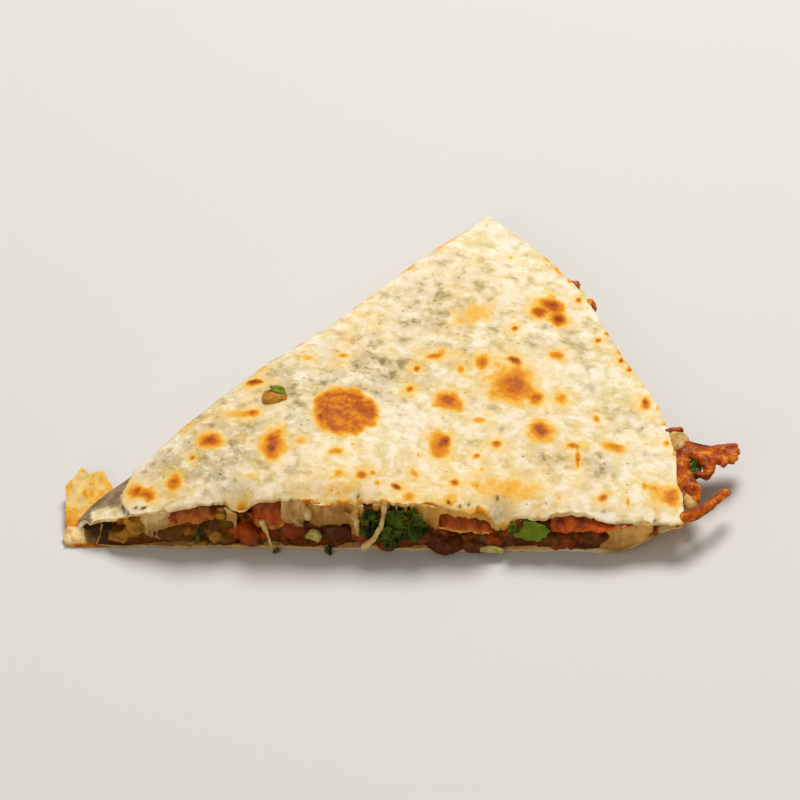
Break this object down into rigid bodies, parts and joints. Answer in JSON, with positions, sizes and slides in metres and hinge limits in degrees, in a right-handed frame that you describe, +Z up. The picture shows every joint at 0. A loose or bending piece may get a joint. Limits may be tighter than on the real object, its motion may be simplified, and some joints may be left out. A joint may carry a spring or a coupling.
{
  "type": "quesadilla slice",
  "caption": "Wedge of a folded and toasted flour tortilla, with spiced meat, melted cheese and cilantro showing at its cut side and fried cheese on its rim.",
  "frame": {"origin": "on the flat underside, near the middle of the wedge, 70 mm along the cut side and 40 mm behind it from the slice's point", "axes": "+X runs along the cut side from the slice's point to the rim, +Y back towards the fold, +Z up"},
  "size_m": [0.1367, 0.099, 0.0157],
  "materials": {
    "tortilla": "baked flour, ivory with golden and brown toasted spots",
    "meat": "moist and uneven, red-brown",
    "melted_cheese": "melted, pale yellow, slightly translucent",
    "cilantro": "soft green leaf",
    "onion": "moist, pale yellow-green",
    "fried_cheese": "crisp and oily, orange-brown"
  },
  "bodies": {
    "root": {"tortilla": "tortilla", "meat_filling": "meat", "melted_cheese": "melted_cheese", "cilantro_leaf_1": "cilantro", "cilantro_leaf_2": "cilantro", "cilantro_leaf_3": "cilantro", "cilantro_leaf_4": "cilantro", "cilantro_stem": "cilantro", "onion_1": "onion", "onion_2": "onion", "fried_cheese_lace": "fried_cheese", "fried_cheese_finger": "fried_cheese"}
  },
  "joints": []
}
